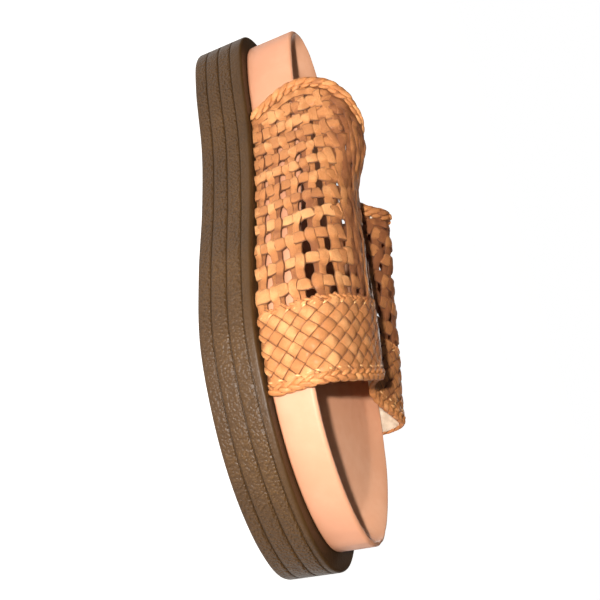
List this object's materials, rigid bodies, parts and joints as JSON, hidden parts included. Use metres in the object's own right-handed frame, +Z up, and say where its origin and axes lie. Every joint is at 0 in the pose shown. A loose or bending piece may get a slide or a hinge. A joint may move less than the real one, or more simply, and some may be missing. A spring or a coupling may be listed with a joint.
{
  "type": "platform slide sandal",
  "caption": "Backless platform slide sandal for the right foot: thick grooved rubber sole, dished leather-wrapped footbed and a wide hollow woven leather upper with plaited edges.",
  "frame": {"origin": "on the ground under the sole, half way along its length and on its centre line", "axes": "+X to the toe, +Y to the big-toe side, +Z up out of the footbed"},
  "size_m": [0.266, 0.106, 0.0764],
  "materials": {
    "sole_rubber": "matt, pebbled",
    "footbed_leather": "smooth, satin",
    "woven_leather": "satin",
    "binding_leather": "satin"
  },
  "bodies": {
    "root": {"outsole": "sole_rubber", "footbed": "footbed_leather", "upper": "woven_leather", "collar_binding": "binding_leather", "front_binding": "binding_leather"}
  },
  "joints": []
}
